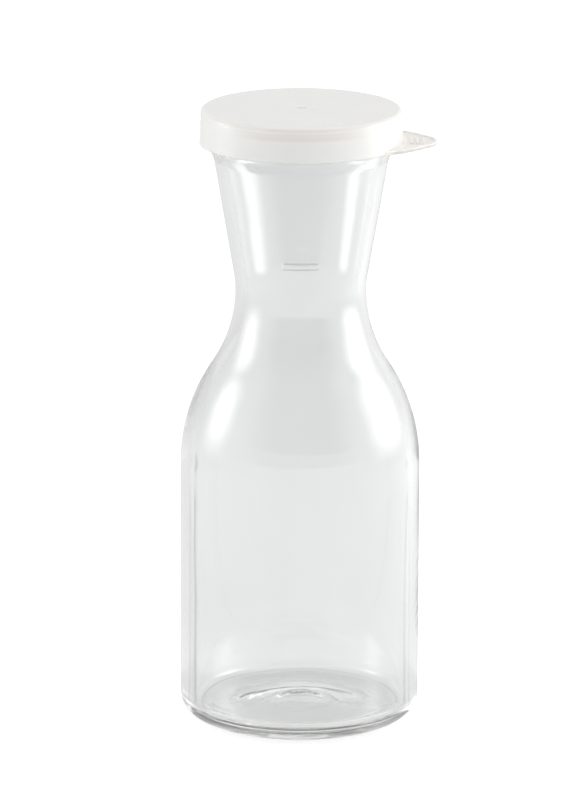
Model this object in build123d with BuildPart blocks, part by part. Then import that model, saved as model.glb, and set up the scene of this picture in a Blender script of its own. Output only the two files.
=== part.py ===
"""Half-litre clear moulded carafe with a white snap lid.

The carafe stands on the XY plane, its axis is Z, and the fill mark faces -Y.
The lid's pull tab points along +X. All sizes are in millimetres.
"""

import os
from math import acos, cos, degrees, radians, sin, tan

from build123d import *

os.makedirs("parts", exist_ok=True)

# Carafe, outside: a straight body, a shoulder, a waist and a flared neck
body_radius = 40.0
waist_radius = 21.8
waist_height = 147.9
shoulder_curve = 60.0
waist_curve = 46.0
flare_curve = 28.0
flare_angle = 9.7

# Carafe, wall
body_wall = 4.4
neck_wall = 3.0

# Carafe, base: a broad heel, a flat foot ring and a dished underside
heel_reach = 12.5
heel_height = 8.2
foot_width = 2.6
foot_recess = 2.0
foot_chamfer = 2.0
floor_height = 6.3
floor_corner_radius = 3.2
push_up_radius = 12.0
push_up_height = 3.4
underside_push_up = 2.8

# Carafe, rim: the wall turns outwards to a thick bead that the lid snaps over
rim_height = 207.8
rim_wall = 3.0
rim_chamfer = 0.8
bead_depth = 8.2
bead_undercut = 1.3
collar_depth = 16.3
collar_step = 1.64
collar_step_height = 4.25

# Fill mark: a raised bar on the front of the neck
mark_height = 160.6
mark_width = 12.0
mark_bar_height = 2.0
mark_relief = 0.4
mark_edge_radius = 0.3

# Lid
lid_wall = 1.3
lid_panel = 1.4
skirt_depth = 10.6
skirt_clearance = 0.9
skirt_draft = 2.2
lid_edge_radius = 1.35
ridge_clearance = 0.25
ridge_height = 1.5
ridge_lift = 0.5
plug_clearance = 0.3
plug_wall = 1.1
plug_depth = 3.4
gate_radius = 1.6
gate_depth = 0.35

# Pull tab with thumb ribs
tab_reach = 11.2
tab_half_angle = 36.0
tab_nose_radius = 10.0
tab_nose_half_angle = 52.0
tab_bulge = 1.0
tab_thickness = 1.35
rib_count = 3
rib_pitch = 1.9
rib_length = 10.0
rib_width = 0.9
rib_relief = 0.45
rib_from_tip = 4.6


def s_curve_angle(outer_radius, inner_radius, first_curve, second_curve):
    """Degrees that each of two opposed arcs turns to step from one radius to another."""
    return degrees(acos(1 - (outer_radius - inner_radius) / (first_curve + second_curve)))


def s_curve_rise(angle, first_curve, second_curve):
    """Height that the two opposed arcs climb."""
    return (first_curve + second_curve) * sin(radians(angle))


def flare_radius(height, radius, curve):
    """Radius of a wall on the straight flare above the waist, at a height."""
    turn = radians(flare_angle)
    start_radius = radius + curve * (1 - cos(turn))
    start_height = waist_height + curve * sin(turn)
    return start_radius + (height - start_height) * tan(turn)


def wall_to_flare(start, radius, waist, shoulder, hollow, flare, top_height):
    """Body wall, shoulder, waist and flare as tangent lines and arcs, from start upwards."""
    angle = s_curve_angle(radius, waist, shoulder, hollow)
    shoulder_start = waist_height - s_curve_rise(angle, shoulder, hollow)
    Line(start, (radius, shoulder_start))
    over = JernArc((radius, shoulder_start), (0, 1), shoulder, angle)
    under = JernArc(over @ 1, over % 1, hollow, -angle)
    out = JernArc(under @ 1, (0, 1), flare, -flare_angle)
    Line(out @ 1, (flare_radius(top_height, waist, flare), top_height))


def push_up(top_height, base_height, radius):
    """A smooth dome on the axis that runs out level at a radius."""
    middle = (radius / 2, (top_height + base_height) / 2)
    crown = TangentArc((0, top_height), middle, tangent=(1, 0))
    TangentArc(middle, (radius, base_height), tangent=crown % 1)


inner_radius = body_radius - body_wall
inner_waist = waist_radius - neck_wall
inner_flare_curve = flare_curve + neck_wall
mouth_radius = flare_radius(rim_height, inner_waist, inner_flare_curve)
bead_radius = mouth_radius + rim_wall
foot_radius = body_radius - heel_reach
foot_inner_radius = foot_radius - foot_width
flare_top_height = rim_height - collar_depth
flare_top_radius = flare_radius(flare_top_height, waist_radius, flare_curve)
collar_radius = flare_top_radius + collar_step
bead_underside = rim_height - bead_depth

# Carafe: one revolved wall, from the axis under the base round to the axis on the floor
with BuildPart() as carafe_body:
    with BuildSketch(Plane.XZ):
        with BuildLine():
            # Underside, foot ring and heel
            push_up(foot_recess + underside_push_up, foot_recess, push_up_radius)
            Polyline(
                (push_up_radius, foot_recess), (foot_inner_radius - foot_chamfer, foot_recess),
                (foot_inner_radius, 0), (foot_radius, 0),
            )
            EllipticalCenterArc(
                (foot_radius, heel_height), heel_reach, heel_height, start_angle=270, arc_size=90
            )

            # Outer wall up to the top of the flare
            wall_to_flare(
                (body_radius, heel_height), body_radius, waist_radius,
                shoulder_curve, waist_curve, flare_curve, flare_top_height,
            )

            # The wall steps out to a collar, then to the bead and over the rim
            lip_foot_height = rim_height - rim_chamfer
            lip_foot_radius = flare_radius(lip_foot_height, inner_waist, inner_flare_curve)
            Polyline(
                (flare_top_radius, flare_top_height),
                (collar_radius, flare_top_height + collar_step_height),
                (collar_radius, bead_underside - bead_undercut),
                (bead_radius, bead_underside),
                (bead_radius, rim_height - rim_chamfer),
                (bead_radius - rim_chamfer, rim_height),
                (mouth_radius + rim_chamfer, rim_height),
                (lip_foot_radius, lip_foot_height),
            )

            # Inner wall, floor corner and floor
            corner_top = (inner_radius, floor_height + floor_corner_radius)
            wall_to_flare(
                corner_top, inner_radius, inner_waist, shoulder_curve - body_wall,
                waist_curve + neck_wall, inner_flare_curve, lip_foot_height,
            )
            floor_edge = inner_radius - floor_corner_radius
            JernArc((floor_edge, floor_height), (1, 0), floor_corner_radius, 90)
            Line((push_up_radius, floor_height), (floor_edge, floor_height))
            push_up(floor_height + push_up_height, floor_height, push_up_radius)
            Line((0, foot_recess + underside_push_up), (0, floor_height + push_up_height))
        make_face()
    revolve(axis=Axis.Z)

    # Fill mark: a short bar that follows the neck round
    mark_radius = flare_radius(mark_height, waist_radius, flare_curve)
    mark_arc = degrees(mark_width / mark_radius)
    mark_start = radians(-90 - mark_arc / 2)
    mark_plane = Plane(
        origin=(0, 0, 0),
        x_dir=(cos(mark_start), sin(mark_start), 0),
        z_dir=(sin(mark_start), -cos(mark_start), 0),
    )
    with BuildSketch(mark_plane):
        with Locations(Location((mark_radius, mark_height), -flare_angle)):
            bar = Rectangle(2 * mark_relief, mark_bar_height)
        fillet(bar.vertices().sort_by(Axis.X)[-2:], mark_edge_radius)
    revolve(axis=Axis.Z, revolution_arc=mark_arc)

carafe_body.part.label = "carafe_body"
export_step(carafe_body.part, "parts/carafe_body.step")

skirt_top = rim_height + lid_panel
skirt_bottom = rim_height - skirt_depth
skirt_height = skirt_top - skirt_bottom
skirt_inner_radius = bead_radius + skirt_clearance
skirt_radius = skirt_inner_radius + lid_wall
draft_step = skirt_height * tan(radians(skirt_draft))
top_radius = skirt_radius - draft_step
ridge_radius = bead_radius + ridge_clearance
ridge_bottom = skirt_bottom + ridge_lift
tab_tip = skirt_radius + tab_reach


def skirt_inside(height):
    """Inner radius of the tapered skirt at a height."""
    return skirt_inner_radius - (height - skirt_bottom) * tan(radians(skirt_draft))


# Lid: panel, skirt with its snap ridge, plug ring and pull tab, moulded as one piece
with BuildPart() as snap_lid:
    with BuildSketch(Plane.XZ) as lid_section:
        with BuildLine():
            Polyline(
                (0, rim_height), (skirt_inside(rim_height), rim_height),
                (skirt_inside(ridge_bottom + ridge_height), ridge_bottom + ridge_height),
                (ridge_radius, ridge_bottom + ridge_height / 2),
                (skirt_inside(ridge_bottom), ridge_bottom),
                (skirt_inner_radius, skirt_bottom),
                (skirt_radius, skirt_bottom), (top_radius, skirt_top), (0, skirt_top),
                close=True,
            )
        make_face()
        fillet(lid_section.vertices().sort_by_distance((top_radius, skirt_top))[0], lid_edge_radius)
    revolve(axis=Axis.Z)

    # Plug ring that centres the lid in the mouth
    with BuildSketch(Plane.XZ):
        plug_low = rim_height - plug_depth
        plug_side = flare_radius(plug_low, inner_waist, inner_flare_curve) - plug_clearance
        plug_root = plug_side + plug_depth * tan(radians(flare_angle))
        with BuildLine():
            Polyline(
                (plug_root - plug_wall, rim_height + lid_panel / 2),
                (plug_root, rim_height + lid_panel / 2),
                (plug_root, rim_height), (plug_side, plug_low),
                (plug_side - plug_wall, plug_low), (plug_root - plug_wall, rim_height),
                close=True,
            )
        make_face()
    revolve(axis=Axis.Z)

    # Gate dimple in the middle of the panel
    with BuildSketch(Plane.XY.offset(skirt_top)):
        Circle(gate_radius)
    extrude(amount=-gate_depth, taper=30, mode=Mode.SUBTRACT)

    # Pull tab, level with the skirt's lower edge
    with BuildSketch(Plane.XY.offset(skirt_bottom)):
        with BuildLine():
            root_x = skirt_radius * cos(radians(tab_half_angle))
            root_y = skirt_radius * sin(radians(tab_half_angle))
            nose_x = tab_tip - tab_nose_radius
            side_x = nose_x + tab_nose_radius * cos(radians(tab_nose_half_angle))
            side_y = tab_nose_radius * sin(radians(tab_nose_half_angle))
            ThreePointArc((side_x, -side_y), (tab_tip, 0), (side_x, side_y))
            SagittaArc((side_x, side_y), (root_x, root_y), -tab_bulge)
            SagittaArc((root_x, -root_y), (side_x, -side_y), -tab_bulge)
            inside = skirt_inner_radius + lid_wall / 2
            tie_x = inside * cos(radians(tab_half_angle))
            tie_y = inside * sin(radians(tab_half_angle))
            Line((root_x, root_y), (tie_x, tie_y))
            Line((root_x, -root_y), (tie_x, -tie_y))
            ThreePointArc((tie_x, -tie_y), (inside, 0), (tie_x, tie_y))
        make_face()
    extrude(amount=tab_thickness)

    # Thumb ribs across the tab
    with BuildSketch(Plane.XY.offset(skirt_bottom + tab_thickness)):
        ribs_middle = tab_tip - rib_from_tip - (rib_count - 1) * rib_pitch / 2
        with Locations((ribs_middle, 0)):
            with GridLocations(rib_pitch, 0, rib_count, 1):
                SlotOverall(rib_length, rib_width, rotation=90)
    extrude(amount=rib_relief)

snap_lid.part.label = "snap_lid"
export_step(snap_lid.part, "parts/snap_lid.step")
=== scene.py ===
"""Half-litre clear moulded carafe with a white snap lid, in a plain white studio.

The carafe stands on the floor at the origin and its axis is Z. The fill mark faces -Y, where the
camera stands, and the lid's pull tab points along +X. Sizes of the object are in millimetres, as on
its drawing, and sizes of the studio are in metres.
"""

import logging
from dataclasses import dataclass
from enum import Enum
from math import acos, cos, degrees, hypot, pi, radians, sin, tan

import bpy
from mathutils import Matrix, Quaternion, Vector


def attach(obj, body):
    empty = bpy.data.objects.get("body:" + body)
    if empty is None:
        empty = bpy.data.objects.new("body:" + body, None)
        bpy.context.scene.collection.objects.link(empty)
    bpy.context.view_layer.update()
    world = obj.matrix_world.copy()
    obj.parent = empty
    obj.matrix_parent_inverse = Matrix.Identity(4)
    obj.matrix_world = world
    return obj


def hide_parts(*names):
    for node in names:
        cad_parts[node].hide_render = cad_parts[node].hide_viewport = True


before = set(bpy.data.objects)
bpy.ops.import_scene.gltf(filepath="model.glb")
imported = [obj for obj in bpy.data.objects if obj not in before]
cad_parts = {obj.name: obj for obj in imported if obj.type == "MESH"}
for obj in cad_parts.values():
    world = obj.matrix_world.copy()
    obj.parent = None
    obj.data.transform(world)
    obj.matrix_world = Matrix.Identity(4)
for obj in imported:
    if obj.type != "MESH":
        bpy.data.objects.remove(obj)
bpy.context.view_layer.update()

MM = 0.001
MILLILITRE = 1e-6
WELD_DISTANCE = 0.002 * MM
ROUNDING_PARTS = 4
ROUNDING_SHARE = 0.49
LIGHT_BOUNCES = 64
LOG = logging.getLogger("carafe")

Point = tuple[float, float]
Triple = tuple[float, float, float]
Piece = bpy.types.Object
Tree = bpy.types.NodeTree
Socket = bpy.types.NodeSocket


class Change(Enum):
    """What a closed shape does to a piece."""

    ADD = "UNION"
    CUT = "DIFFERENCE"


class Outline:
    """Half section of a turned piece: points of (radius, height), in millimetres."""

    def __init__(self, start: Point) -> None:
        """Starts the outline at a point."""
        self.points: list[Point] = [start]

    def line(self, end: Point, parts: int = 1) -> None:
        """Adds a straight stretch.

        Args:
            end: where the stretch ends.
            parts: how many equal parts it is cut into.
        """
        first = self.points[-1]
        for step in range(1, parts + 1):
            share = step / parts
            self.points.append(tuple(a + (b - a) * share for a, b in zip(first, end)))

    def arc(self, centre: Point, reach: Point, start: float, end: float, parts: int) -> None:
        """Adds an arc of a circle or of an upright ellipse.

        Args:
            centre: centre of the arc.
            reach: its two half axes, along the radius and the height.
            start: angle of its first point, in degrees from the outward direction.
            end: angle of its last point.
            parts: how many chords the arc gets.
        """
        for step in range(1, parts + 1):
            angle = radians(start + (end - start) * step / parts)
            self.points.append((centre[0] + reach[0] * cos(angle), centre[1] + reach[1] * sin(angle)))

    def dome(self, low: float, rise: float, radius: float, parts: int = 14) -> None:
        """Adds a smooth dome that starts on the axis and runs out level.

        Args:
            low: height of the level floor round the dome.
            rise: height of the dome above it.
            radius: radius where it runs out.
            parts: how many chords the dome gets.
        """
        for step in range(1, parts + 1):
            share = step / parts
            self.points.append((radius * share, low + rise * (1 + cos(pi * share)) / 2))

    def corners(self, corners: list[Triple], parts: int = ROUNDING_PARTS) -> None:
        """Runs through corners, each rounded by its own radius.

        Args:
            corners: radius, height and rounding of each corner, the last one with no rounding. A
                rounding never takes up more than a set share of the stretch before its corner.
            parts: how many chords each rounding gets.
        """
        for here, after in zip(corners, corners[1:]):
            before = Vector(self.points[-1])
            corner = Vector(here[:2])
            back = (before - corner).normalized()
            ahead = (Vector(after[:2]) - corner).normalized()
            half = back.angle(ahead) / 2
            reach = min(here[2] / tan(half), ROUNDING_SHARE * (before - corner).length)
            rounding = reach * tan(half)
            middle = corner + (back + ahead).normalized() * rounding / sin(half)
            start = corner + back * reach - middle
            turn = pi - 2 * half
            side = 1 if start.cross(ahead) > 0 else -1
            for step in range(parts + 1):
                angle = side * turn * step / parts
                self.points.append((
                    middle.x + start.x * cos(angle) - start.y * sin(angle),
                    middle.y + start.x * sin(angle) + start.y * cos(angle),
                ))
        self.points.append(corners[-1][:2])


class Bench:
    """Modelling moves that several pieces share, each made with Blender's own operators."""

    @staticmethod
    def clear_selection() -> None:
        """Leaves edit mode and deselects every object."""
        if bpy.context.object and bpy.context.object.mode != "OBJECT":
            bpy.ops.object.mode_set(mode="OBJECT")
        bpy.ops.object.select_all(action="DESELECT")

    @staticmethod
    def pick(piece: Piece) -> None:
        """Makes one piece the only selected and active one."""
        Bench.clear_selection()
        piece.select_set(True)
        bpy.context.view_layer.objects.active = piece

    @staticmethod
    def edit(piece: Piece) -> None:
        """Opens one piece in edit mode with all of it selected."""
        Bench.pick(piece)
        bpy.ops.object.mode_set(mode="EDIT")
        bpy.ops.mesh.select_all(action="SELECT")

    @staticmethod
    def draw(name: str, points: list[Vector]) -> Piece:
        """Draws a chain of edges, point by point, and stays in edit mode.

        Args:
            name: name of the new object.
            points: the chain's points, in metres.

        Returns:
            The new object, with all of the chain selected.
        """
        Bench.clear_selection()
        bpy.ops.mesh.primitive_plane_add(size=MM, location=points[0])
        piece = bpy.context.object
        piece.name = name
        bpy.ops.object.transform_apply(location=True, rotation=True, scale=True)
        bpy.ops.object.mode_set(mode="EDIT")
        bpy.ops.mesh.select_mode(type="VERT")
        bpy.ops.mesh.select_all(action="SELECT")
        bpy.ops.mesh.merge(type="CENTER")
        for before, after in zip(points, points[1:]):
            bpy.ops.mesh.extrude_vertices_move(TRANSFORM_OT_translate={"value": after - before})
        bpy.ops.mesh.select_all(action="SELECT")
        return piece

    @staticmethod
    def turn(name: str, outline: Outline, steps: int, side: int = 1) -> Piece:
        """Spins an outline round the Z axis into a skin with its seam and poles closed.

        Args:
            name: name of the new object.
            outline: the half section.
            steps: how many segments go round.
            side: 1 when its faces look outwards, or -1 for the skin of a cavity.

        Returns:
            The new object, in object mode.
        """
        points = [Vector((radius, 0, height)) * MM for radius, height in outline.points]
        piece = Bench.draw(name, points)
        bpy.ops.mesh.spin(steps=steps, angle=2 * pi, center=(0, 0, 0), axis=(0, 0, 1))
        bpy.ops.mesh.select_all(action="SELECT")
        bpy.ops.mesh.remove_doubles(threshold=WELD_DISTANCE)
        Bench.face(piece, side)
        return piece

    @staticmethod
    def raise_plan(name: str, plan: list[Vector], height: float) -> Piece:
        """Fills a closed plan and draws it up to a height in millimetres.

        Args:
            name: name of the new object.
            plan: the plan's points, in metres.
            height: how thick the piece becomes.

        Returns:
            The new object, closed and in object mode.
        """
        piece = Bench.draw(name, plan)
        bpy.ops.mesh.edge_face_add()
        bpy.ops.mesh.extrude_region_move(TRANSFORM_OT_translate={"value": (0, 0, height * MM)})
        Bench.face(piece)
        return piece

    @staticmethod
    def face(piece: Piece, side: int = 1) -> None:
        """Turns all faces of a piece outwards, or inwards, and leaves it in object mode.

        The volume inside the faces is positive when they face outwards, and it decides whether
        all of them are turned over.

        Args:
            piece: the piece, in either mode.
            side: 1 for outwards, or -1 for inwards, as the skin of a cavity.
        """
        Bench.edit(piece)
        bpy.ops.mesh.normals_make_consistent(inside=False)
        bpy.ops.object.mode_set(mode="OBJECT")
        places = [vertex.co for vertex in piece.data.vertices]
        volume = 0.0
        for face in piece.data.polygons:
            first, *others = (places[index] for index in face.vertices)
            volume += sum(first.dot(a.cross(b)) for a, b in zip(others, others[1:]))
        LOG.info("%s: %.2f ml inside its faces", piece.name, volume / 6 / MILLILITRE)
        if volume * side < 0:
            Bench.edit(piece)
            bpy.ops.mesh.flip_normals()
            bpy.ops.object.mode_set(mode="OBJECT")

    @staticmethod
    def modify(piece: Piece, kind: str, **settings: object) -> None:
        """Changes a piece by one modifier, which is applied.

        Args:
            piece: the piece that is changed.
            kind: Blender's name of the modifier's type.
            settings: attributes that are set on the modifier.
        """
        modifier = piece.modifiers.new(kind, kind)
        for key, value in settings.items():
            setattr(modifier, key, value)
        Bench.pick(piece)
        bpy.ops.object.modifier_apply(modifier=modifier.name)

    @staticmethod
    def merge(piece: Piece, tool: Piece, change: Change) -> None:
        """Joins or cuts a closed tool with a closed piece and removes the tool.

        Args:
            piece: the piece that is changed.
            tool: the shape that is added or taken away.
            change: whether it is added or cut away.
        """
        Bench.modify(piece, "BOOLEAN", operation=change.value, solver="EXACT", object=tool)
        bpy.data.objects.remove(tool)


@dataclass(frozen=True)
class Wall:
    """One skin of the carafe from its straight body up the flare, in millimetres."""

    radius: float
    waist: float
    shoulder_curve: float
    waist_curve: float
    flare_curve: float
    waist_height: float = 147.9
    flare_angle: float = 9.7
    body_parts: int = 24
    shoulder_parts: int = 26
    waist_parts: int = 22
    flare_parts: int = 6

    def turn(self) -> float:
        """Degrees that the shoulder arc and the waist arc each turn."""
        step = self.radius - self.waist
        return degrees(acos(1 - step / (self.shoulder_curve + self.waist_curve)))

    def shoulder_start(self) -> float:
        """Height where the straight body ends."""
        curves = self.shoulder_curve + self.waist_curve
        return self.waist_height - curves * sin(radians(self.turn()))

    def flare_radius(self, height: float) -> float:
        """Radius of the straight flare at a height."""
        lean = radians(self.flare_angle)
        start = self.waist + self.flare_curve * (1 - cos(lean))
        return start + (height - self.waist_height - self.flare_curve * sin(lean)) * tan(lean)

    def draw(self, outline: Outline) -> None:
        """Adds the body, the shoulder, the waist and the foot of the flare to an outline.

        Args:
            outline: the half section, which ends at the foot of the straight body.
        """
        turn = self.turn()
        start = self.shoulder_start()
        outline.line((self.radius, start), self.body_parts)
        for centre, reach, first, last, parts in (
            ((self.radius - self.shoulder_curve, start), self.shoulder_curve, 0, turn, self.shoulder_parts),
            ((self.waist + self.waist_curve, self.waist_height), self.waist_curve,
             180 + turn, 180, self.waist_parts),
            ((self.waist + self.flare_curve, self.waist_height), self.flare_curve,
             180, 180 - self.flare_angle, self.flare_parts),
        ):
            outline.arc(centre, (reach, reach), first, last, parts)


@dataclass
class Carafe:
    """The clear carafe: one moulded wall with a heel, a foot ring, a waist and a rim bead."""

    name: str = "clear_carafe"
    outer: Wall = Wall(40.0, 21.8, 60.0, 46.0, 28.0)
    inner: Wall = Wall(35.6, 18.8, 55.6, 49.0, 31.0)
    segments: int = 192
    foot_radius: float = 27.5
    heel_height: float = 8.2
    foot_width: float = 2.6
    foot_recess: float = 2.0
    foot_dish: float = 14.0
    dish_parts: int = 16
    underside_radius: float = 10.0
    floor_height: float = 6.3
    floor_corner: float = 2.6
    push_up_radius: float = 11.5
    push_up_height: float = 2.7
    underside_push_up: float = 1.8
    rim_height: float = 207.75
    rim_wall: float = 3.0
    rim_rounding: float = 0.9
    mouth_start: float = 3.6
    crest_gap: float = 0.1
    bead_depth: float = 8.2
    bead_undercut: float = 1.3
    bead_rounding: float = 0.5
    undercut_rounding: float = 0.4
    collar_depth: float = 15.6
    collar_step: float = 1.64
    collar_step_height: float = 4.25
    collar_rounding: float = 6.0
    mark_height: float = 160.6
    mark_width: float = 12.0
    mark_bar_height: float = 2.0
    mark_relief: float = 0.7
    mark_slope: float = 0.22
    mark_shares: tuple[float, ...] = (0.7, 0.3)
    mark_loop: float = 0.5
    wave_depth: float = 0.5
    wave_length: float = 55.0
    cavity_shift: float = 0.35
    calm_rim: float = 22.0
    calm_share: float = 0.4
    foot_parts: int = 2
    heel_parts: int = 30
    neck_parts: int = 12
    floor_parts: int = 8
    corner_parts: int = 12
    mouth_parts: int = 24

    def outer_outline(self) -> Outline:
        """Draws the outside, from the axis under the base up to the crest of the rim.

        Returns:
            The half section.
        """
        outline = Outline((0, self.foot_recess + self.underside_push_up))
        outline.dome(self.foot_recess, self.underside_push_up, self.underside_radius)
        foot_inner = self.foot_radius - self.foot_width
        dish_start = foot_inner - self.foot_dish
        for step in range(1, self.dish_parts + 1):
            share = step / self.dish_parts
            drop = self.foot_recess * (1 + cos(pi * share)) / 2
            outline.points.append((dish_start + self.foot_dish * share, drop))
        outline.line((self.foot_radius, 0.0), self.foot_parts)
        heel_reach = self.outer.radius - self.foot_radius
        heel_centre = (self.foot_radius, self.heel_height)
        outline.arc(heel_centre, (heel_reach, self.heel_height), 270, 360, self.heel_parts)
        self.outer.draw(outline)
        for height in self.mark_stations():
            outline.line((self.outer.flare_radius(height), height))
        flare_top = self.rim_height - self.collar_depth
        below = flare_top - self.collar_rounding
        outline.line((self.outer.flare_radius(below), below), self.neck_parts)
        collar = self.outer.flare_radius(flare_top) + self.collar_step
        collar_low = flare_top + self.collar_step_height
        bead_low = self.rim_height - self.bead_depth
        outline.corners([
            (self.outer.flare_radius(flare_top), flare_top, self.collar_rounding),
            (collar, collar_low, self.collar_rounding),
            (collar, bead_low - self.bead_undercut, self.undercut_rounding),
            (self.bead_radius(), bead_low, self.bead_rounding),
            (self.bead_radius(), self.rim_height, self.rim_rounding),
            (self.crest_radius(), self.rim_height, 0.0),
        ])
        return outline

    def inner_outline(self) -> Outline:
        """Draws the inside, from the axis on the floor up to the crest of the rim.

        Returns:
            The half section.
        """
        outline = Outline((0, self.floor_height + self.push_up_height))
        outline.dome(self.floor_height, self.push_up_height, self.push_up_radius)
        floor_edge = self.inner.radius - self.floor_corner
        outline.line((floor_edge, self.floor_height), self.floor_parts)
        corner_top = self.floor_height + self.floor_corner
        outline.arc((floor_edge, corner_top), (self.floor_corner,) * 2, 270, 360, self.corner_parts)
        self.inner.draw(outline)
        top = self.rim_height - self.mouth_start
        outline.line((self.inner.flare_radius(top), top), self.mouth_parts)
        mouth = self.inner.flare_radius(self.rim_height)
        outline.corners([
            (mouth, self.rim_height, self.rim_rounding),
            (self.crest_radius() - self.crest_gap, self.rim_height, 0.0),
        ])
        return outline

    def bead_radius(self) -> float:
        """Outer radius of the bead that the lid snaps over."""
        return self.inner.flare_radius(self.rim_height) + self.rim_wall

    def crest_radius(self) -> float:
        """Radius of the middle of the rim's flat top."""
        return self.bead_radius() - self.rim_wall / 2

    def mark_stations(self) -> list[float]:
        """Heights where the outside gets an edge loop for the fill mark."""
        half = self.mark_bar_height / 2
        loops = (-half - self.mark_loop, -half, -half + self.mark_loop)
        return [self.mark_height + loop for loop in (*loops, 0.0, *(-loop for loop in reversed(loops)))]

    def build(self) -> Piece:
        """Turns both skins, waves the inner one, bridges them at the rim and raises the mark.

        Returns:
            The carafe as one closed mesh.
        """
        skin = Bench.turn(self.name, self.outer_outline(), self.segments)
        lining = Bench.turn("lining", self.inner_outline(), self.segments, -1)
        self.settle(lining)
        Bench.pick(skin)
        lining.select_set(True)
        bpy.ops.object.join()
        bpy.ops.object.mode_set(mode="EDIT")
        bpy.ops.mesh.select_all(action="DESELECT")
        bpy.ops.mesh.select_mode(type="EDGE")
        bpy.ops.mesh.select_non_manifold(extend=False)
        bpy.ops.mesh.bridge_edge_loops()
        Bench.face(skin)
        self.raise_mark(skin)
        Bench.face(skin)
        Bench.pick(skin)
        bpy.ops.object.shade_smooth()
        return skin

    def settle(self, lining: Piece) -> None:
        """Gives the inner skin the slow waves and the slight offset that moulding leaves.

        Args:
            lining: the inner skin, still by itself.
        """
        calm = lining.vertex_groups.new(name="moulded")
        top = self.rim_height * MM
        for vertex in lining.data.vertices:
            weight = min(max((top - vertex.co.z) / (self.calm_rim * MM) - self.calm_share, 0), 1)
            calm.add([vertex.index], weight, "REPLACE")
        clouds = bpy.data.textures.new("wall_waves", "CLOUDS")
        clouds.noise_scale = self.wave_length * MM
        clouds.noise_depth = 1
        Bench.modify(
            lining, "DISPLACE", texture=clouds, texture_coords="LOCAL",
            strength=self.wave_depth * MM, vertex_group=calm.name,
        )
        Bench.modify(
            lining, "DISPLACE", direction="X", mid_level=0,
            strength=self.cavity_shift * MM, vertex_group=calm.name,
        )

    def raise_mark(self, skin: Piece) -> None:
        """Raises the fill mark on the front of the neck as a soft bar.

        Args:
            skin: the closed carafe.
        """
        low = (self.mark_height - self.mark_bar_height / 2) * MM
        high = (self.mark_height + self.mark_bar_height / 2) * MM
        wall_middle = (self.outer.flare_radius(self.mark_height) - self.rim_wall / 2) * MM
        Bench.pick(skin)
        bpy.ops.object.mode_set(mode="EDIT")
        bpy.ops.mesh.select_mode(type="FACE")
        bpy.ops.mesh.select_all(action="DESELECT")
        bpy.ops.object.mode_set(mode="OBJECT")
        for face in skin.data.polygons:
            place = face.center
            outside = hypot(place.x, place.y) > wall_middle
            in_bar = low < place.z < high and abs(place.x) < self.mark_width / 2 * MM
            face.select = place.y < 0 and outside and in_bar
        bpy.ops.object.mode_set(mode="EDIT")
        for share in self.mark_shares:
            bpy.ops.mesh.inset(thickness=self.mark_slope * MM, depth=self.mark_relief * share * MM)
        bpy.ops.object.mode_set(mode="OBJECT")


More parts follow.
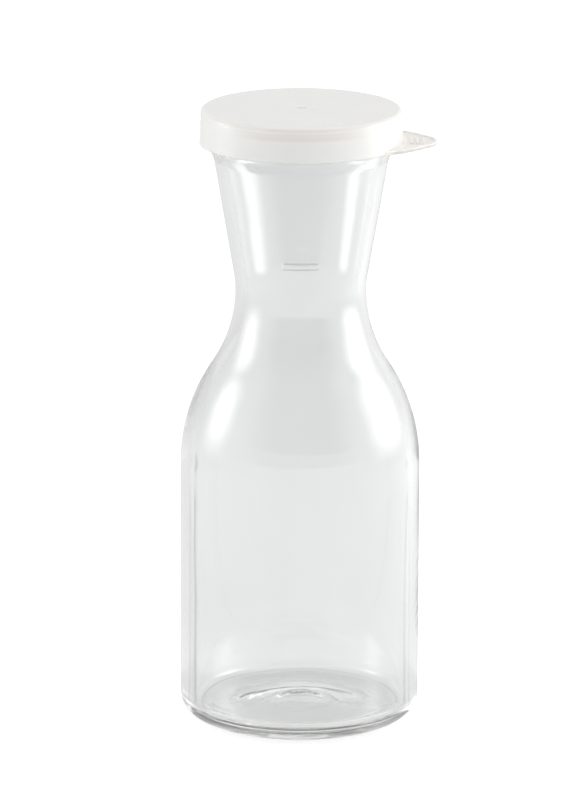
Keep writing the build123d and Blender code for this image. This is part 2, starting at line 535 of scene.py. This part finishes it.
@dataclass
class Lid:
    """The white lid: panel, tapered skirt, snap ridge, plug ring and pull tab in one piece."""

    name: str = "white_lid"
    segments: int = 192
    seat_height: float = 207.795
    panel: float = 1.4
    bead_radius: float = 31.589
    skirt_clearance: float = 0.9
    wall: float = 1.3
    skirt_depth: float = 10.6
    draft: float = 2.2
    edge_radius: float = 1.8
    ridge_clearance: float = 0.25
    ridge_height: float = 1.5
    ridge_lift: float = 0.5
    mouth_radius: float = 28.59
    plug_clearance: float = 0.3
    plug_wall: float = 1.1
    plug_depth: float = 3.4
    plug_angle: float = 9.7
    gate_radius: float = 1.6
    gate_depth: float = 0.35
    gate_slope: float = 0.25
    panel_margin: float = 3.0
    lip_height: float = 0.9
    rounding: float = 0.3
    seat_rounding: float = 0.5
    plug_rounding: float = 0.2
    tab_reach: float = 11.2
    tab_half_angle: float = 36.0
    tab_nose_radius: float = 10.0
    tab_nose_half_angle: float = 52.0
    tab_bulge: float = 1.0
    tab_thickness: float = 1.35
    tab_edge: float = 0.3
    tab_parts: int = 12
    root_parts: int = 8
    tab_rim: float = 0.95
    tab_recess: float = 0.35
    pocket_height: float = 1.0
    rib_count: int = 3
    rib_pitch: float = 1.9
    rib_length: float = 10.0
    rib_width: float = 0.9
    rib_relief: float = 0.45
    rib_sunk: float = 0.3
    rib_rounding: float = 0.28
    rib_from_tip: float = 4.6
    panel_parts: int = 8
    edge_parts: int = 10
    skirt_parts: int = 8
    ceiling_parts: int = 6
    corner_angle: float = 60.0
    crisp_angle: float = 35.0

    def skirt_inside(self, height: float) -> float:
        """Inner radius of the tapered skirt at a height."""
        rise = height - (self.seat_height - self.skirt_depth)
        return self.bead_radius + self.skirt_clearance - rise * tan(radians(self.draft))

    def skirt_radius(self) -> float:
        """Outer radius at the skirt's lower edge."""
        return self.bead_radius + self.skirt_clearance + self.wall

    def outline(self) -> Outline:
        """Draws the cap, from the axis on top round to the axis under the panel.

        Returns:
            The half section.
        """
        top = self.seat_height + self.panel
        low = self.seat_height - self.skirt_depth
        ridge_low = low + self.ridge_lift
        ridge_top = ridge_low + self.ridge_height
        skirt = self.skirt_radius()
        upper = skirt - (top - low) * tan(radians(self.draft))
        plug_low = self.seat_height - self.plug_depth
        lean = self.plug_depth * tan(radians(self.plug_angle))
        plug_root = self.mouth_radius - self.plug_clearance
        plug_side = plug_root - lean
        outline = Outline((0, top - self.gate_depth))
        outline.corners([
            (self.gate_radius - self.gate_slope, top - self.gate_depth, self.rounding / 3),
            (self.gate_radius, top, self.rounding / 2),
            (upper / 2, top, 0.0),
        ])
        outline.line((upper - self.panel_margin, top), self.panel_parts)
        outline.corners([(upper, top, self.edge_radius), (skirt, low, 0.0)], self.edge_parts)
        outline.points.pop()
        lip_step = self.lip_height * tan(radians(self.draft))
        outline.line((skirt - lip_step, low + self.lip_height), self.skirt_parts)
        outline.corners([
            (skirt, low, self.rounding),
            (skirt - self.wall, low, self.rounding),
            (self.skirt_inside(ridge_low), ridge_low, self.rounding),
            (self.bead_radius + self.ridge_clearance, (ridge_low + ridge_top) / 2, self.rounding),
            (self.skirt_inside(ridge_top), ridge_top, self.rounding),
            (self.skirt_inside(self.seat_height), self.seat_height, self.seat_rounding),
            (plug_root, self.seat_height, self.plug_rounding),
            (plug_side, plug_low, self.rounding),
            (plug_side - self.plug_wall, plug_low, self.rounding),
            (plug_root - self.plug_wall, self.seat_height, self.rounding),
            (plug_side / 2, self.seat_height, 0.0),
        ])
        outline.line((0, self.seat_height), self.ceiling_parts)
        return outline

    def tab_plan(self) -> list[Vector]:
        """Plan of the tab's bottom face, a closed run of points round its nose and sides.

        Returns:
            Points in metres at the height of the skirt's lower edge.
        """
        height = self.seat_height - self.skirt_depth
        tip = self.skirt_radius() + self.tab_reach
        nose_centre = tip - self.tab_nose_radius
        plan: list[Point] = []
        for step in range(2 * self.tab_parts + 1):
            angle = radians(self.tab_nose_half_angle * (step / self.tab_parts - 1))
            plan.append((nose_centre + self.tab_nose_radius * cos(angle), self.tab_nose_radius * sin(angle)))
        root = Vector((cos(radians(self.tab_half_angle)), sin(radians(self.tab_half_angle))))
        side = Vector(plan[-1])
        foot = root * self.skirt_radius()
        across = (foot - side).normalized()
        bulge = Vector((across.y, -across.x)) * self.tab_bulge
        flank = []
        for step in range(1, self.tab_parts + 1):
            share = step / self.tab_parts
            flank.append(tuple(side.lerp(foot, share) + bulge * 4 * share * (1 - share)))
        reach = self.skirt_radius() - self.wall / 2
        inside = root * reach
        plan += flank + [tuple(inside)]
        for step in range(1, 2 * self.root_parts):
            angle = radians(self.tab_half_angle * (1 - step / self.root_parts))
            plan.append((reach * cos(angle), reach * sin(angle)))
        plan += [(inside.x, -inside.y)] + [(x, -y) for x, y in reversed(flank)]
        return [Vector((x, y, height)) * MM for x, y in plan]

    def tab(self) -> Piece:
        """The pull tab: its plan is filled, drawn up to its thickness and its edge rounded.

        Returns:
            The tab as a closed mesh that runs into the skirt.
        """
        tab = Bench.raise_plan("tab", self.tab_plan(), self.tab_thickness)
        Bench.modify(
            tab, "BEVEL", width=self.tab_edge * MM, segments=ROUNDING_PARTS,
            limit_method="ANGLE", angle_limit=radians(self.corner_angle),
        )
        Bench.merge(tab, self.tab_pocket(), Change.CUT)
        return tab

    def tab_pocket(self) -> Piece:
        """The shape that sinks the tab's top face a little and leaves a raised rim round it.

        Returns:
            The shape to take away, a little smaller than the tab's plan.
        """
        middle = self.skirt_radius() + self.tab_reach - self.tab_nose_radius
        share = 1 - self.tab_rim / self.tab_nose_radius
        centre = Vector((middle, 0, self.seat_height - self.skirt_depth)) * MM
        lift = Vector((0, 0, self.tab_thickness - self.tab_recess)) * MM
        plan = [centre + (point - centre) * share + lift for point in self.tab_plan()]
        return Bench.raise_plan("pocket", plan, self.pocket_height)

    def rib(self, place: float) -> Piece:
        """One thumb rib across the tab, a bar with round ends and a soft crown.

        Args:
            place: the rib's place along X, in millimetres.

        Returns:
            The rib as a closed mesh sunk a little into the tab.
        """
        tab_face = self.seat_height - self.skirt_depth + self.tab_thickness - self.tab_recess
        depth = self.rib_relief + self.rib_sunk
        middle = (place * MM, 0, (tab_face - self.rib_sunk + depth / 2) * MM)
        Bench.clear_selection()
        bpy.ops.mesh.primitive_cube_add(size=MM, location=middle)
        rib = bpy.context.object
        bpy.ops.object.mode_set(mode="EDIT")
        bpy.ops.transform.resize(value=(self.rib_width, self.rib_length, depth), center_override=middle)
        bpy.ops.object.mode_set(mode="OBJECT")
        bpy.ops.object.transform_apply(location=True, rotation=True, scale=True)
        Bench.modify(rib, "BEVEL", width=self.rib_rounding * MM, segments=ROUNDING_PARTS)
        return rib

    def build(self) -> Piece:
        """Turns the cap and joins the tab and its thumb ribs to it.

        Returns:
            The lid as one closed mesh.
        """
        lid = Bench.turn(self.name, self.outline(), self.segments)
        Bench.merge(lid, self.tab(), Change.ADD)
        tip = self.skirt_radius() + self.tab_reach
        for index in range(self.rib_count):
            place = tip - self.rib_from_tip - index * self.rib_pitch
            Bench.merge(lid, self.rib(place), Change.ADD)
        Bench.face(lid)
        Bench.pick(lid)
        bpy.ops.object.shade_smooth_by_angle(angle=radians(self.crisp_angle))
        return lid


class Nodes:
    """A small hand for building node trees."""

    def __init__(self, tree: Tree) -> None:
        """Keeps the tree that new nodes go into."""
        self.tree = tree

    def add(self, kind: str, **settings: object) -> bpy.types.Node:
        """Adds a node of a kind and gives its settings.

        Args:
            kind: Blender's name of the node's type.
            settings: attributes that are set on the node.

        Returns:
            The new node.
        """
        node = self.tree.nodes.new(kind)
        for key, value in settings.items():
            setattr(node, key, value)
        return node

    def put(self, socket: Socket, value: object) -> None:
        """Sets a socket to a constant, or links it to another node's output."""
        if isinstance(value, Socket):
            self.tree.links.new(value, socket)
        else:
            socket.default_value = value

    def fill(self, node: bpy.types.Node, **values: object) -> None:
        """Sets or links inputs of a node, with an underscore for each space in their names."""
        for name, value in values.items():
            self.put(node.inputs[name.replace("_", " ")], value)

    def math(self, operation: str, *values: object) -> Socket:
        """Adds a math node.

        Args:
            operation: Blender's name of what it works out.
            values: its constants or sockets.

        Returns:
            Its value.
        """
        node = self.add("ShaderNodeMath", operation=operation)
        for socket, value in zip(node.inputs, values):
            self.put(socket, value)
        return node.outputs[0]

    def product(self, first: object, *others: object) -> Socket:
        """Multiplies some values and returns the product."""
        for other in others:
            first = self.math("MULTIPLY", first, other)
        return first

    def gap(self, value: object, other: object = 0.0) -> Socket:
        """Returns how far a value is from another, always positive."""
        return self.math("ABSOLUTE", self.math("SUBTRACT", value, other))

    def split(self, place: Socket) -> list[Socket]:
        """Splits a place and returns its X, Y and Z."""
        node = self.add("ShaderNodeSeparateXYZ")
        self.put(node.inputs[0], place)
        return list(node.outputs)

    def reach(self, across: Socket, along: Socket) -> Socket:
        """Returns the distance from the Z axis of a place with this X and Y."""
        squares = [self.math("POWER", value, 2.0) for value in (across, along)]
        return self.math("SQRT", self.math("ADD", *squares))

    def noise(self, place: Socket, scale: object, detail: float) -> Socket:
        """Adds a noise texture at a place and returns its value."""
        node = self.add("ShaderNodeTexNoise")
        self.fill(node, Vector=place, Scale=scale, Detail=detail)
        return node.outputs["Fac"]

    def ramp(
        self, value: object, low: object, high: object, to_low: object, to_high: object
    ) -> Socket:
        """Maps a value smoothly from one range to another.

        Args:
            value: the value.
            low: where the first range starts.
            high: where it ends.
            to_low: what the result is up to the start.
            to_high: what it is from the end on.

        Returns:
            The result.
        """
        node = self.add("ShaderNodeMapRange", interpolation_type="SMOOTHSTEP")
        for socket, number in zip(node.inputs, (value, low, high, to_low, to_high)):
            self.put(socket, number)
        return node.outputs["Result"]

    def rise(self, value: object, span: Point, peak: object = 1.0) -> Socket:
        """Returns a mask that rises smoothly from 0 to its peak over a span of a value."""
        return self.ramp(value, *span, 0.0, peak)

    def fall(self, value: object, span: Point, peak: object = 1.0) -> Socket:
        """Returns a mask that falls smoothly from its peak to 0 over a span of a value."""
        return self.ramp(value, *span, peak, 0.0)

    def band(self, value: object, rise: Point, fall: Point, peak: object = 1.0) -> Socket:
        """Returns a mask that rises to its peak over one span of a value and falls over another."""
        return self.product(self.rise(value, rise, peak), self.fall(value, fall))

    def mix(self, share: object, first: object, second: object) -> Socket:
        """Mixes two colours.

        Args:
            share: how much of the second there is, from 0 to 1.
            first: the first colour.
            second: the second colour.

        Returns:
            The mixed colour.
        """
        node = self.add("ShaderNodeMix", data_type="RGBA")
        self.put(node.inputs[0], share)
        self.put(node.inputs[6], first)
        self.put(node.inputs[7], second)
        return node.outputs[2]

    def bump(self, height: object, distance: float, strength: float) -> Socket:
        """Adds a bump node over a height and returns its normal."""
        node = self.add("ShaderNodeBump")
        self.fill(node, Strength=strength, Distance=distance, Height=height)
        return node.outputs["Normal"]


class Surface(Nodes):
    """The nodes of one material, with the place on the object that its masks read."""

    def __init__(self, name: str) -> None:
        """Starts a material and measures the place on the object: X, Y, Z and radius."""
        self.material = bpy.data.materials.new(name)
        self.material.use_nodes = True
        super().__init__(self.material.node_tree)
        self.place = self.add("ShaderNodeTexCoord").outputs["Object"]
        self.across, self.along, self.level = self.split(self.place)
        self.radius = self.reach(self.across, self.along)

    def shade(self, **values: object) -> None:
        """Sets or links inputs of the material's shader."""
        self.fill(self.tree.nodes["Principled BSDF"], **values)

    def effect(self, group: Tree, **values: float) -> Socket:
        """Puts a shared group into the material with its own values.

        Args:
            group: one of the shared groups.
            values: its inputs, with an underscore for each space in their names.

        Returns:
            The group's output.
        """
        node = self.add("ShaderNodeGroup", node_tree=group)
        self.fill(node, Place=self.place, **values)
        return node.outputs[0]


class SharedEffects:
    """Node groups that more than one finish uses."""

    SMUDGE_SPAN: Point = (0.45, 0.75)
    SMUDGE_SHARE: float = 0.5
    SCUFF_SPAN: Point = (0.66, 0.74)
    SCUFF_FINENESS: float = 45.0
    SCUFF_STRETCH: Triple = (1.0, 1.0, 0.08)
    SCUFF_TURN: Triple = (0.3, 0.2, 0.0)

    def __init__(self) -> None:
        """Builds the groups once."""
        self.skin = self.moulded_skin()
        self.wear = self.handling_wear()

    @staticmethod
    def group(name: str, inputs: dict[str, float], output: str) -> Tree:
        """Starts a group that reads a place.

        Args:
            name: the group's name.
            inputs: its other inputs with their first values.
            output: its output.

        Returns:
            The new node tree with its sockets.
        """
        tree = bpy.data.node_groups.new(name, "ShaderNodeTree")
        place = tree.interface.new_socket("Place", in_out="INPUT", socket_type="NodeSocketVector")
        place.hide_value = True
        for label, value in inputs.items():
            socket = tree.interface.new_socket(label, in_out="INPUT", socket_type="NodeSocketFloat")
            socket.default_value = value
        tree.interface.new_socket(output, in_out="OUTPUT", socket_type="NodeSocketFloat")
        return tree

    @staticmethod
    def moulded_skin() -> Tree:
        """Makes the height of a moulded surface: slow sink waves with a fine grain on them.

        Returns:
            The group.
        """
        tree = SharedEffects.group(
            "moulded_skin", {"Wave Scale": 30.0, "Grain Scale": 900.0, "Grain Share": 0.2}, "Height"
        )
        nodes = Nodes(tree)
        place, wave_scale, grain_scale, share, *_ = nodes.add("NodeGroupInput").outputs
        waves = nodes.noise(place, wave_scale, detail=2)
        fine = nodes.product(nodes.noise(place, grain_scale, detail=3), share)
        nodes.fill(nodes.add("NodeGroupOutput"), Height=nodes.math("ADD", waves, fine))
        return tree

    @staticmethod
    def handling_wear() -> Tree:
        """Makes a mask of hairline scuffs and soft smudges from handling, between 0 and 1.

        Returns:
            The group.
        """
        effects = SharedEffects
        tree = effects.group("handling_wear", {"Scale": 40.0, "Amount": 0.5}, "Mask")
        nodes = Nodes(tree)
        place, scale, amount, *_ = nodes.add("NodeGroupInput").outputs
        smudge = nodes.rise(nodes.noise(place, scale, detail=4), effects.SMUDGE_SPAN)
        stretch = nodes.add("ShaderNodeMapping")
        nodes.fill(stretch, Vector=place, Scale=effects.SCUFF_STRETCH, Rotation=effects.SCUFF_TURN)
        fine_scale = nodes.product(scale, effects.SCUFF_FINENESS)
        hairlines = nodes.noise(stretch.outputs["Vector"], fine_scale, detail=2)
        scuff = nodes.rise(hairlines, effects.SCUFF_SPAN)
        both = nodes.math("MAXIMUM", nodes.product(smudge, effects.SMUDGE_SHARE), scuff)
        nodes.fill(nodes.add("NodeGroupOutput"), Mask=nodes.product(both, amount))
        return tree


@dataclass(frozen=True)
class ClearPlastic:
    """Polished water-clear moulded plastic with a faint cool cast."""

    name: str = "clear_plastic"
    colour: Triple = (0.985, 0.993, 0.99)
    scuffed: Triple = (0.96, 0.97, 0.968)
    index: float = 1.585
    roughness: float = 0.0
    scuff_roughness: float = 0.05
    foot_roughness: float = 0.06
    foot_top: Point = (0.005, 0.012)
    shoulder_roughness: float = 0.06
    shoulder_low: Point = (0.085, 0.1)
    shoulder_high: Point = (0.125, 0.135)
    # painted shade: a thin dark line where the inner wall's rounding meets the floor
    floor_ring: float = 0.0331
    ring_width: Point = (0.0001, 0.0005)
    ring_low: Point = (0.0045, 0.005)
    ring_high: Point = (0.0085, 0.0095)
    corner_shade_colour: Triple = (0.7, 0.71, 0.7)
    ripple: float = 0.00002
    flow_depth: float = 0.0002
    flow_scale: float = 280.0
    flow_stretch: float = 0.3
    flow_top: Point = (0.011, 0.015)
    flow_edge: Point = (0.03, 0.034)
    # painted shade: thin dark lines along the fill mark's long sides
    mark_height: float = 0.1606
    mark_rim: float = 0.001
    mark_width: Point = (0.0001, 0.0003)
    mark_end: Point = (0.0053, 0.0061)
    mark_front: Point = (-0.0205, -0.0195)
    mark_shade_colour: Triple = (0.55, 0.56, 0.56)

    def material(self, effects: SharedEffects) -> bpy.types.Material:
        """Builds the finish.

        Args:
            effects: the shared node groups.

        Returns:
            The material.
        """
        paint = Surface(self.name)
        wear = paint.effect(effects.wear, Scale=38.0, Amount=0.5)
        skin = paint.effect(effects.skin, Wave_Scale=26.0, Grain_Scale=260.0, Grain_Share=0.02)
        colour = paint.mix(wear, (*self.colour, 1), (*self.scuffed, 1))
        # painted shade along the fill mark's long sides
        colour = paint.mix(self.mark_shade_lines(paint), colour, (*self.mark_shade_colour, 1))
        # painted shade in the corner where the inner wall meets the floor
        colour = paint.mix(self.ring(paint), colour, (*self.corner_shade_colour, 1))
        roughness = paint.math("MULTIPLY_ADD", wear, self.scuff_roughness, self.haze(paint))
        paint.shade(
            IOR=self.index, Transmission_Weight=1.0, Base_Color=colour, Roughness=roughness,
            Normal=paint.bump(self.relief(paint, skin), distance=1.0, strength=1.0),
        )
        return paint.material

    def haze(self, paint: Surface) -> Socket:
        """Roughness: a little more on the shoulder, where hands rub, and round the heel and the foot.

        Args:
            paint: the material's nodes.

        Returns:
            The roughness.
        """
        shoulder = paint.band(paint.level, self.shoulder_low, self.shoulder_high, self.shoulder_roughness)
        foot = paint.ramp(paint.level, *self.foot_top, self.foot_roughness, self.roughness)
        return paint.math("ADD", shoulder, foot)

    def ring(self, paint: Surface) -> Socket:
        """A mask that is 1 in the thin line of painted shade where the inner wall's rounding meets the
        floor.
        """
        line = paint.fall(paint.gap(paint.radius, self.floor_ring), self.ring_width)
        return paint.product(line, paint.band(paint.level, self.ring_low, self.ring_high))

    def mark_shade_lines(self, paint: Surface) -> Socket:
        """A mask of the thin lines of painted shade where the fill mark's long sides meet the neck.

        Args:
            paint: the material's nodes.

        Returns:
            The mask, 1 in the lines.
        """
        off_line = paint.gap(paint.gap(paint.level, self.mark_height), self.mark_rim)
        return paint.product(
            paint.fall(off_line, self.mark_width), paint.fall(paint.gap(paint.across), self.mark_end),
            paint.fall(paint.along, self.mark_front),
        )

    def relief(self, paint: Surface, skin: Socket) -> Socket:
        """Height of the surface in metres: the moulded skin, and round flow marks in the base.

        Args:
            paint: the material's nodes.
            skin: the moulded skin's height.

        Returns:
            The height.
        """
        in_base = paint.product(
            paint.fall(paint.level, self.flow_top, self.flow_depth),
            paint.fall(paint.radius, self.flow_edge),
        )
        rings = paint.add("ShaderNodeCombineXYZ")
        aside, ahead = (paint.product(value, self.flow_stretch) for value in (paint.across, paint.along))
        paint.fill(rings, X=paint.radius, Y=aside, Z=ahead)
        flow = paint.product(paint.noise(rings.outputs[0], self.flow_scale, detail=1), in_base)
        return paint.math("MULTIPLY_ADD", skin, self.ripple, flow)


@dataclass(frozen=True)
class SatinWhite:
    """Soft translucent off-white plastic with a satin sheen."""

    name: str = "satin_white_plastic"
    # painted shade: the top and its margin are darker than the skirt, where the overhead lamp falls
    # stronger, and the margin a touch warmer; painted light: the skirt's warm cast
    top: Triple = (0.85, 0.845, 0.835)
    edge: Triple = (0.85, 0.838, 0.818)
    skirt: Triple = (0.99, 0.945, 0.895)
    # painted shade: a darker band where the bead stands behind the skirt, only towards the front
    bead_shadow: Triple = (0.885, 0.85, 0.818)
    # painted shade: the tab is darker than the skirt, and its side faces darker still
    tab: Triple = (0.83, 0.81, 0.79)
    tab_side_shade: Triple = (0.72, 0.705, 0.685)
    shaded: Triple = (0.88, 0.86, 0.83)
    top_margin_shade: Point = (0.0312, 0.032)
    skirt_top: Point = (0.2074, 0.2084)
    bead_low: Point = (0.2042, 0.2054)
    bead_high: Point = (0.2064, 0.2078)
    bead_shadow_sides: Point = (0.01, 0.028)
    tab_face: Point = (0.19812, 0.19819)
    tab_root: Point = (0.034, 0.036)
    roughness: float = 0.28
    edge_roughness: float = 0.12
    edge_low: Point = (0.2066, 0.2078)
    wear_share: float = 0.5
    wear_roughness: float = 0.15
    index: float = 1.5
    scatter: float = 0.0005
    scatter_shares: Triple = (1.0, 1.0, 1.0)
    grain: float = 0.00004
    grain_strength: float = 0.6

    def material(self, effects: SharedEffects) -> bpy.types.Material:
        """Builds the finish.

        Args:
            effects: the shared node groups.

        Returns:
            The material.
        """
        paint = Surface(self.name)
        wear = paint.effect(effects.wear, Scale=60.0, Amount=0.6)
        skin = paint.effect(effects.skin, Wave_Scale=45.0, Grain_Scale=1500.0, Grain_Share=0.25)
        gloss = paint.ramp(paint.level, *self.edge_low, self.roughness, self.edge_roughness)
        paint.shade(
            IOR=self.index, Subsurface_Weight=1.0, Subsurface_Radius=self.scatter_shares,
            Subsurface_Scale=self.scatter,
            Base_Color=paint.mix(
                paint.product(wear, self.wear_share), self.colour_and_painted_light(paint), (*self.shaded, 1)
            ),
            Roughness=paint.math("MULTIPLY_ADD", wear, self.wear_roughness, gloss),
            Normal=paint.bump(skin, self.grain, self.grain_strength),
        )
        return paint.material

    def colour_and_painted_light(self, paint: Surface) -> Socket:
        """Colour over the lid, with painted light and shade: the top and its margin painted darker than the
        skirt, the skirt painted warm, painted shade over the bead behind it, and the tab painted darker with
        darker sides.

        Args:
            paint: the material's nodes.

        Returns:
            The colour.
        """
        # painted shade on the top and its margin, painted warm light on the skirt
        top = paint.mix(paint.rise(paint.radius, self.top_margin_shade), (*self.top, 1), (*self.edge, 1))
        colour = paint.mix(paint.rise(paint.level, self.skirt_top), (*self.skirt, 1), top)
        # painted shade over the bead, fading towards the sides
        bead = paint.product(
            paint.band(paint.level, self.bead_low, self.bead_high),
            paint.fall(paint.gap(paint.across), self.bead_shadow_sides),
        )
        colour = paint.mix(bead, colour, (*self.bead_shadow, 1))
        # painted shade on the tab and darker still on its sides
        tab = paint.mix(paint.rise(paint.level, self.tab_face), (*self.tab_side_shade, 1), (*self.tab, 1))
        return paint.mix(paint.rise(paint.radius, self.tab_root), colour, tab)


@dataclass(frozen=True)
class SoftBox:
    """A studio softbox, with sizes in metres and power in watts."""

    name: str
    place: Triple
    target: Triple
    width: float
    height: float
    power: float
    soft_sides: float = 1.0
    soft_ends: float = 0.5

    def build(self) -> None:
        """Adds the lamp, out of the camera's sight, with a glow that fades towards its edges."""
        Bench.clear_selection()
        bpy.ops.object.light_add(type="AREA", location=self.place)
        lamp = bpy.context.object
        lamp.name = self.name
        lamp.data.shape = "RECTANGLE"
        lamp.data.size = self.width
        lamp.data.size_y = self.height
        lamp.data.energy = self.power
        lamp.visible_camera = False
        direction = Vector(self.target) - Vector(self.place)
        lamp.rotation_euler = direction.to_track_quat("-Z", "Y").to_euler()
        lamp.data.use_nodes = True
        nodes = Nodes(lamp.data.node_tree)
        across, along, _ = nodes.split(nodes.add("ShaderNodeNewGeometry").outputs["Parametric"])
        fades = []
        for place, softness in ((across, self.soft_sides), (along, self.soft_ends)):
            offset = nodes.math("MULTIPLY_ADD", place, 2.0, -1.0)
            edge = nodes.math("SUBTRACT", 1.0, nodes.gap(offset))
            fades.append(nodes.rise(edge, (0.0, softness)))
        nodes.fill(nodes.tree.nodes["Emission"], Strength=nodes.product(*fades))


@dataclass
class Studio:
    """The pale floor, the surrounding studio, the lamps and the camera."""

    floor_radius: float = 16.0
    floor_segments: int = 96
    floor_drop: float = 0.02 * MM
    floor_roughness: float = 0.9
    floor_colour: Triple = (0.42, 0.42, 0.42)
    floor_glow: float = 0.4
    floor_lift: float = 0.41
    front_level: float = 0.07
    back_level: float = 0.8
    back_gain: float = 0.15
    back_side: Point = (0.0, 0.7)
    front_side: Point = (0.5, 1.3)
    fill_level: float = 0.75
    # painted shade and painted pools of light in the floor's glow, which only the object's reflections show
    flag_corner: Point = (0.038, -0.012)
    flag_depth: float = 0.7
    flag_start: Point = (0.772, 0.792)
    flag_end: Point = (0.86, 0.9)
    flag_reach: Point = (0.31, 0.35)
    left_shade: float = 0.14
    shade_turn: Point = (0.4, 0.6)
    shade_far: Point = (-0.22, -0.2)
    shade_near: Point = (-0.03, 0.0)
    right_gain: float = 0.14
    right_side: Point = (0.02, 0.25)
    under_gain: float = 0.08
    under_edge: Point = (0.026, 0.034)
    heel_gain: float = 0.18
    heel_inner: Point = (0.024, 0.03)
    heel_outer: Point = (0.043, 0.05)
    heel_front: Point = (-0.02, -0.012)
    behind_gain: float = 0.07
    behind_near: Point = (0.04, 0.05)
    behind_far: Point = (0.06, 0.16)
    camera_roll: float = 0.22
    overhead: SoftBox = SoftBox("overhead", (0, -0.1, 1.5), (0, 0, 0), 1.4, 1.4, 4.2, 0.3, 0.3)
    left: SoftBox = SoftBox("left_box", (-0.618, 0.043, 0.2575), (0, 0, 0.15), 0.5, 0.495, 2.4, 1.0, 0.7)
    right: SoftBox = SoftBox("right_box", (0.612, 0.09, 0.27), (0, 0, 0.15), 0.78, 0.52, 4.1)
    camera_place: Triple = (0.0, -2.2267, 0.6809)
    camera_target: Triple = (-0.0021, 0.0, 0.10945)
    focal_length: float = 309.6
    sensor: float = 36.0
    view_reach: float = 60.0

    def build(self) -> None:
        """Builds the whole studio."""
        self.add_floor()
        self.light_room()
        for box in (self.overhead, self.left, self.right):
            box.build()
        self.add_camera()

    def add_floor(self) -> None:
        """Lays the floor, whose colour is lifted to white only where the camera looks."""
        Bench.clear_selection()
        bpy.ops.mesh.primitive_circle_add(
            vertices=self.floor_segments, radius=self.floor_radius, fill_type="NGON",
            location=(0, 0, -self.floor_drop),
        )
        floor = bpy.context.object
        floor.name = "floor"
        paint = Surface("pale_floor")
        bare = paint.math("ADD", self.floor_glow, self.floor_lift)
        seen = paint.add("ShaderNodeLightPath").outputs["Is Camera Ray"]
        paint.shade(
            Base_Color=(*self.floor_colour, 1), Roughness=self.floor_roughness, Specular_IOR_Level=0.0,
            Emission_Color=(1, 1, 1, 1),
            Emission_Strength=paint.ramp(seen, 0.0, 1.0, self.table_glow(paint), bare),
        )
        floor.data.materials.append(paint.material)

    def table_glow(self, paint: Surface) -> Socket:
        """Glow of the floor as the object mirrors it.

        The glow is painted darker behind the object on either side, and weakly on its left. Painted
        pools of extra glow lie on its right, under it, in front of its heel and behind it.

        Args:
            paint: the floor material's nodes.

        Returns:
            The glow's strength.
        """
        across, back, distance = paint.across, paint.along, paint.radius
        corner_across, corner_back = self.flag_corner
        turn = paint.math(
            "ARCTAN2", paint.math("SUBTRACT", paint.gap(across), corner_across),
            paint.math("SUBTRACT", back, corner_back),
        )
        # painted shade in the floor's glow behind the object on either side
        painted_flag = paint.product(
            paint.band(turn, self.flag_start, self.flag_end, self.flag_depth),
            paint.fall(distance, self.flag_reach),
        )
        shade = paint.product(
            paint.rise(turn, self.shade_turn),
            paint.band(across, self.shade_far, self.shade_near, self.left_shade),
        )
        heel = paint.product(
            paint.band(distance, self.heel_inner, self.heel_outer, self.heel_gain),
            paint.fall(back, self.heel_front),
        )
        behind = paint.product(
            paint.rise(back, self.behind_near), paint.fall(distance, self.behind_far, self.behind_gain)
        )
        # painted pools of extra glow on the floor
        gain = paint.rise(across, self.right_side, self.right_gain)
        for extra in (paint.fall(distance, self.under_edge, self.under_gain), heel, behind):
            gain = paint.math("ADD", gain, extra)
        lit = paint.math("SUBTRACT", 1.0, paint.math("MAXIMUM", painted_flag, shade))
        return paint.math("MULTIPLY_ADD", lit, self.floor_glow, gain)

    def light_room(self) -> None:
        """Lights the room, dark in front and bright elsewhere, and shows it white to the camera."""
        scene = bpy.context.scene
        world = bpy.data.worlds.new("studio")
        scene.world = world
        world.use_nodes = True
        nodes = Nodes(world.node_tree)
        path = nodes.add("ShaderNodeLightPath")
        diffused = nodes.math("GREATER_THAN", path.outputs["Diffuse Depth"], 0.5)
        across, along, _ = nodes.split(nodes.add("ShaderNodeTexCoord").outputs["Generated"])
        aside = nodes.math("ARCTAN2", nodes.gap(across), nodes.product(along, -1.0))
        back = nodes.ramp(across, *self.back_side, self.back_level, self.back_level + self.back_gain)
        around = nodes.ramp(aside, *self.front_side, self.front_level, back)
        level = nodes.ramp(diffused, 0.0, 1.0, around, self.fill_level)
        shown = nodes.math("MAXIMUM", level, path.outputs["Is Camera Ray"])
        nodes.fill(nodes.tree.nodes["Background"], Color=(1, 1, 1, 1), Strength=shown)

    def add_camera(self) -> None:
        """Stands the camera where the photograph was taken from."""
        Bench.clear_selection()
        bpy.ops.object.camera_add(location=self.camera_place)
        camera = bpy.context.object
        camera.data.sensor_width = self.sensor
        camera.data.lens = self.focal_length
        camera.data.clip_end = self.view_reach
        aim = Vector(self.camera_target) - Vector(self.camera_place)
        roll = Quaternion((0, 0, 1), radians(self.camera_roll))
        camera.rotation_euler = (aim.to_track_quat("-Z", "Y") @ roll).to_euler()
        bpy.context.scene.camera = camera


def dress(
    piece: Piece, material: bpy.types.Material, body: str, node: str
) -> None:
    """Gives a piece its finish and ties it to the frame.

    Args:
        piece: the finished mesh.
        material: its finish.
        body: the body that it rides on.
        node: the node that it stands for.
    """
    piece.data.materials.clear()
    piece.data.materials.append(material)
    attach(piece, body)
    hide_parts(node)
    triangles = sum(len(face.vertices) - 2 for face in piece.data.polygons)
    LOG.info("%s rides on %s: %d triangles", piece.name, body, triangles)


def main() -> None:
    """Builds the pieces, dresses them and sets up the studio."""
    logging.basicConfig(level=logging.INFO, format="%(name)s: %(message)s")
    scene = bpy.context.scene
    scene.view_settings.view_transform = "Standard"
    scene.cycles.max_bounces = LIGHT_BOUNCES
    scene.cycles.glossy_bounces = LIGHT_BOUNCES
    scene.cycles.transmission_bounces = LIGHT_BOUNCES
    effects = SharedEffects()
    dress(
        Carafe().build(), ClearPlastic().material(effects), "carafe", "carafe_body"
    )
    dress(Lid().build(), SatinWhite().material(effects), "lid", "snap_lid")
    Studio().build()


if __name__ == "__main__":
    main()
